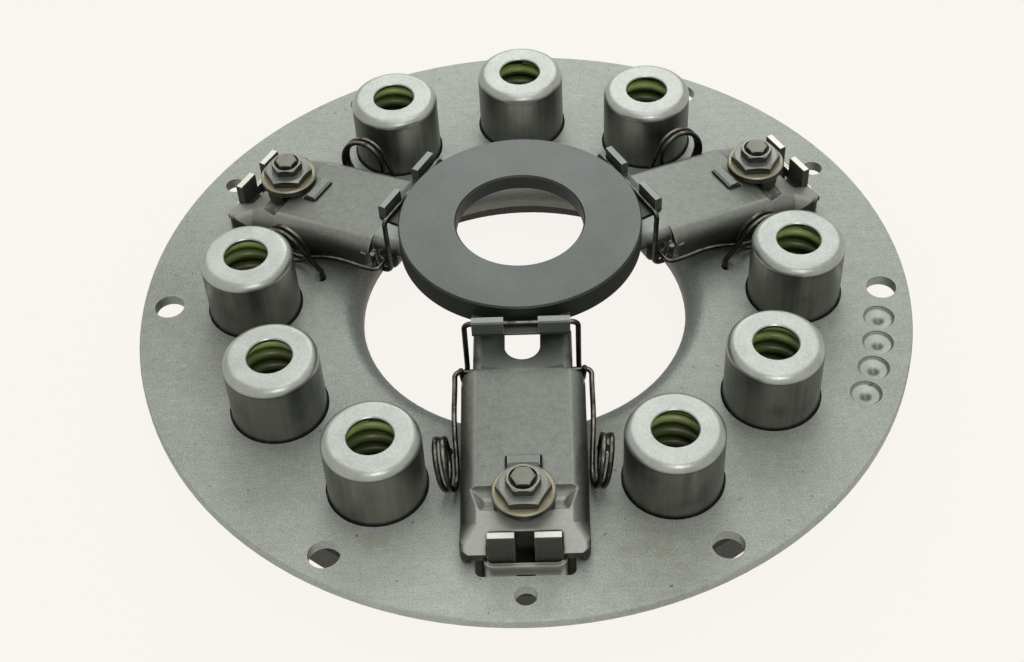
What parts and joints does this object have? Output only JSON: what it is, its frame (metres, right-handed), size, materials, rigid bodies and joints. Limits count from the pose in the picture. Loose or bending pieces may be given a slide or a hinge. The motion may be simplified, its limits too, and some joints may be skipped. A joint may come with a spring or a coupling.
{
  "type": "clutch pressure plate",
  "caption": "Push-type clutch pressure plate: pressed cover with coil pressure springs in cups, pressed release levers, a release ring and a cast pressure plate.",
  "frame": {"origin": "centre of the six mounting holes, on the cover's mounting face", "axes": "+Z along the clutch's axis to the release side; the first lever lies along -Y"},
  "size_m": [0.3, 0.3, 0.0711],
  "materials": {
    "cover": "matt phosphated sheet steel",
    "cup": "bright matt zinc-plated drawn steel",
    "pressure_spring": "olive-green lacquer",
    "casting": "as-cast dark lugs, turned faces",
    "lever": "matt phosphated pressed steel",
    "leaf": "matt spring steel",
    "pin": "ground steel",
    "bolt": "dark oiled steel",
    "nut": "phosphated steel",
    "washer": "yellow-olive passivated steel",
    "ring": "turned and dark phosphated steel",
    "wire": "oil-hardened spring wire"
  },
  "bodies": {
    "cover": {"cover_plate": "cover", "spring_cup_1": "cup", "spring_cup_2": "cup", "spring_cup_3": "cup", "spring_cup_4": "cup", "spring_cup_5": "cup", "spring_cup_6": "cup", "spring_cup_7": "cup", "spring_cup_8": "cup", "spring_cup_9": "cup", "pressure_spring_1": "pressure_spring", "pressure_spring_2": "pressure_spring", "pressure_spring_3": "pressure_spring", "pressure_spring_4": "pressure_spring", "pressure_spring_5": "pressure_spring", "pressure_spring_6": "pressure_spring", "pressure_spring_7": "pressure_spring", "pressure_spring_8": "pressure_spring", "pressure_spring_9": "pressure_spring"},
    "plate": {"pressure_plate": "casting", "lug_leaf_1": "leaf", "lug_leaf_2": "leaf", "lug_leaf_3": "leaf", "bolt_pin_1": "pin", "bolt_pin_2": "pin", "bolt_pin_3": "pin", "lever_bolt_1": "bolt", "lever_bolt_2": "bolt", "lever_bolt_3": "bolt", "lever_nut_1": "nut", "lever_nut_2": "nut", "lever_nut_3": "nut", "lever_washer_1": "washer", "lever_washer_2": "washer", "lever_washer_3": "washer"},
    "lever_1": {"release_lever_1": "lever", "torsion_spring_1": "wire", "torsion_spring_2": "wire"},
    "lever_2": {"release_lever_2": "lever", "torsion_spring_3": "wire", "torsion_spring_4": "wire"},
    "lever_3": {"release_lever_3": "lever", "torsion_spring_5": "wire", "torsion_spring_6": "wire"},
    "ring": {"release_ring": "ring", "ring_bail_1": "wire", "ring_bail_2": "wire", "ring_bail_3": "wire"}
  },
  "joints": [
    {"name": "plate_lift", "type": "slide", "parent": "cover", "child": "plate", "axis": [0, 0, 1], "range_m": [0, 0.0019], "stiffness_N_per_m": 60000, "springref_m": -0.01, "deforming": ["pressure_spring_1", "pressure_spring_2", "pressure_spring_3", "pressure_spring_4", "pressure_spring_5", "pressure_spring_6", "pressure_spring_7", "pressure_spring_8", "pressure_spring_9"]},
    {"name": "lever_1_rock", "type": "hinge", "parent": "cover", "child": "lever_1", "pos_m": [0, -0.095, 0.01371], "axis": [-1, 0, 0], "range_deg": [0, 7.6]},
    {"name": "lever_2_rock", "type": "hinge", "parent": "cover", "child": "lever_2", "pos_m": [0.08227, 0.0475, 0.01371], "axis": [0.5, -0.866, 0], "range_deg": [0, 7.6]},
    {"name": "lever_3_rock", "type": "hinge", "parent": "cover", "child": "lever_3", "pos_m": [-0.08227, 0.0475, 0.01371], "axis": [0.5, 0.866, 0], "range_deg": [0, 7.6]},
    {"name": "ring_push", "type": "slide", "parent": "cover", "child": "ring", "axis": [0, 0, -1], "range_m": [0, 0.0074]}
  ],
  "couplings": [
    {"joint": "lever_1_rock", "follows": "plate_lift", "rad_per_m": 69.444},
    {"joint": "lever_2_rock", "follows": "plate_lift", "rad_per_m": 69.444},
    {"joint": "lever_3_rock", "follows": "plate_lift", "rad_per_m": 69.444},
    {"joint": "ring_push", "follows": "plate_lift", "ratio": 3.8542}
  ]
}
